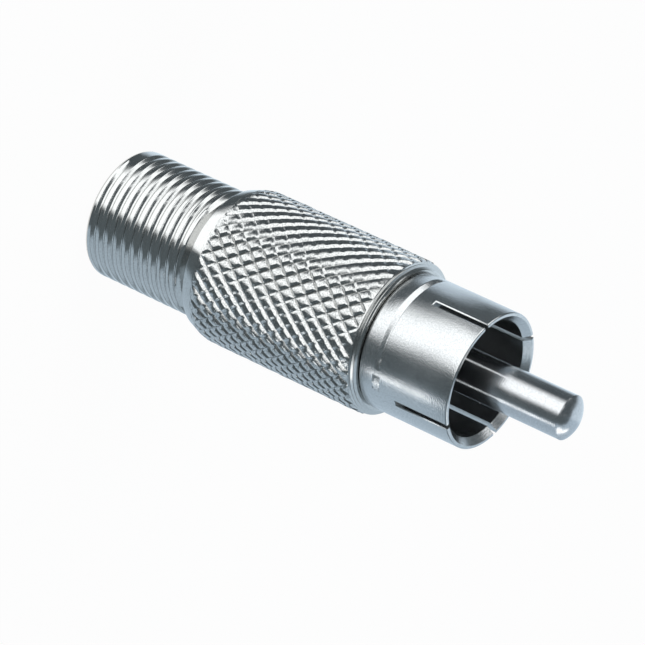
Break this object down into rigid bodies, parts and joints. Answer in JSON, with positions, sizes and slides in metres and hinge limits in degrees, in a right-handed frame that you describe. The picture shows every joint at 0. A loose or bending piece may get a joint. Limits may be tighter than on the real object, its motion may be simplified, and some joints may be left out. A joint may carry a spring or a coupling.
{
  "type": "f to rca adapter",
  "caption": "Straight coaxial adapter: threaded F socket, diamond-knurled metal grip, slotted RCA plug sleeve and solid centre pin.",
  "frame": {"origin": "centre of the end face of the threaded F socket, on which the part stands", "axes": "+Z along the common axis of all pieces, from the F socket to the tip of the RCA pin; +X through one saw slot of the sleeve"},
  "size_m": [0.0114, 0.0114, 0.0386],
  "materials": {
    "nickel_body": "bright nickel plating on turned and knurled brass",
    "nickel_sleeve": "satin nickel plating on turned brass",
    "nickel_pin": "satin nickel plating on turned brass",
    "black_plastic": "moulded, matte",
    "white_plastic": "moulded, natural white, slightly waxy",
    "bronze_strip": "rolled phosphor bronze strip"
  },
  "bodies": {
    "root": {"body": "nickel_body", "rca_sleeve": "nickel_sleeve", "centre_pin": "nickel_pin", "front_insulator": "black_plastic", "rear_insulator": "white_plastic", "contact_clip": "bronze_strip"}
  },
  "joints": []
}
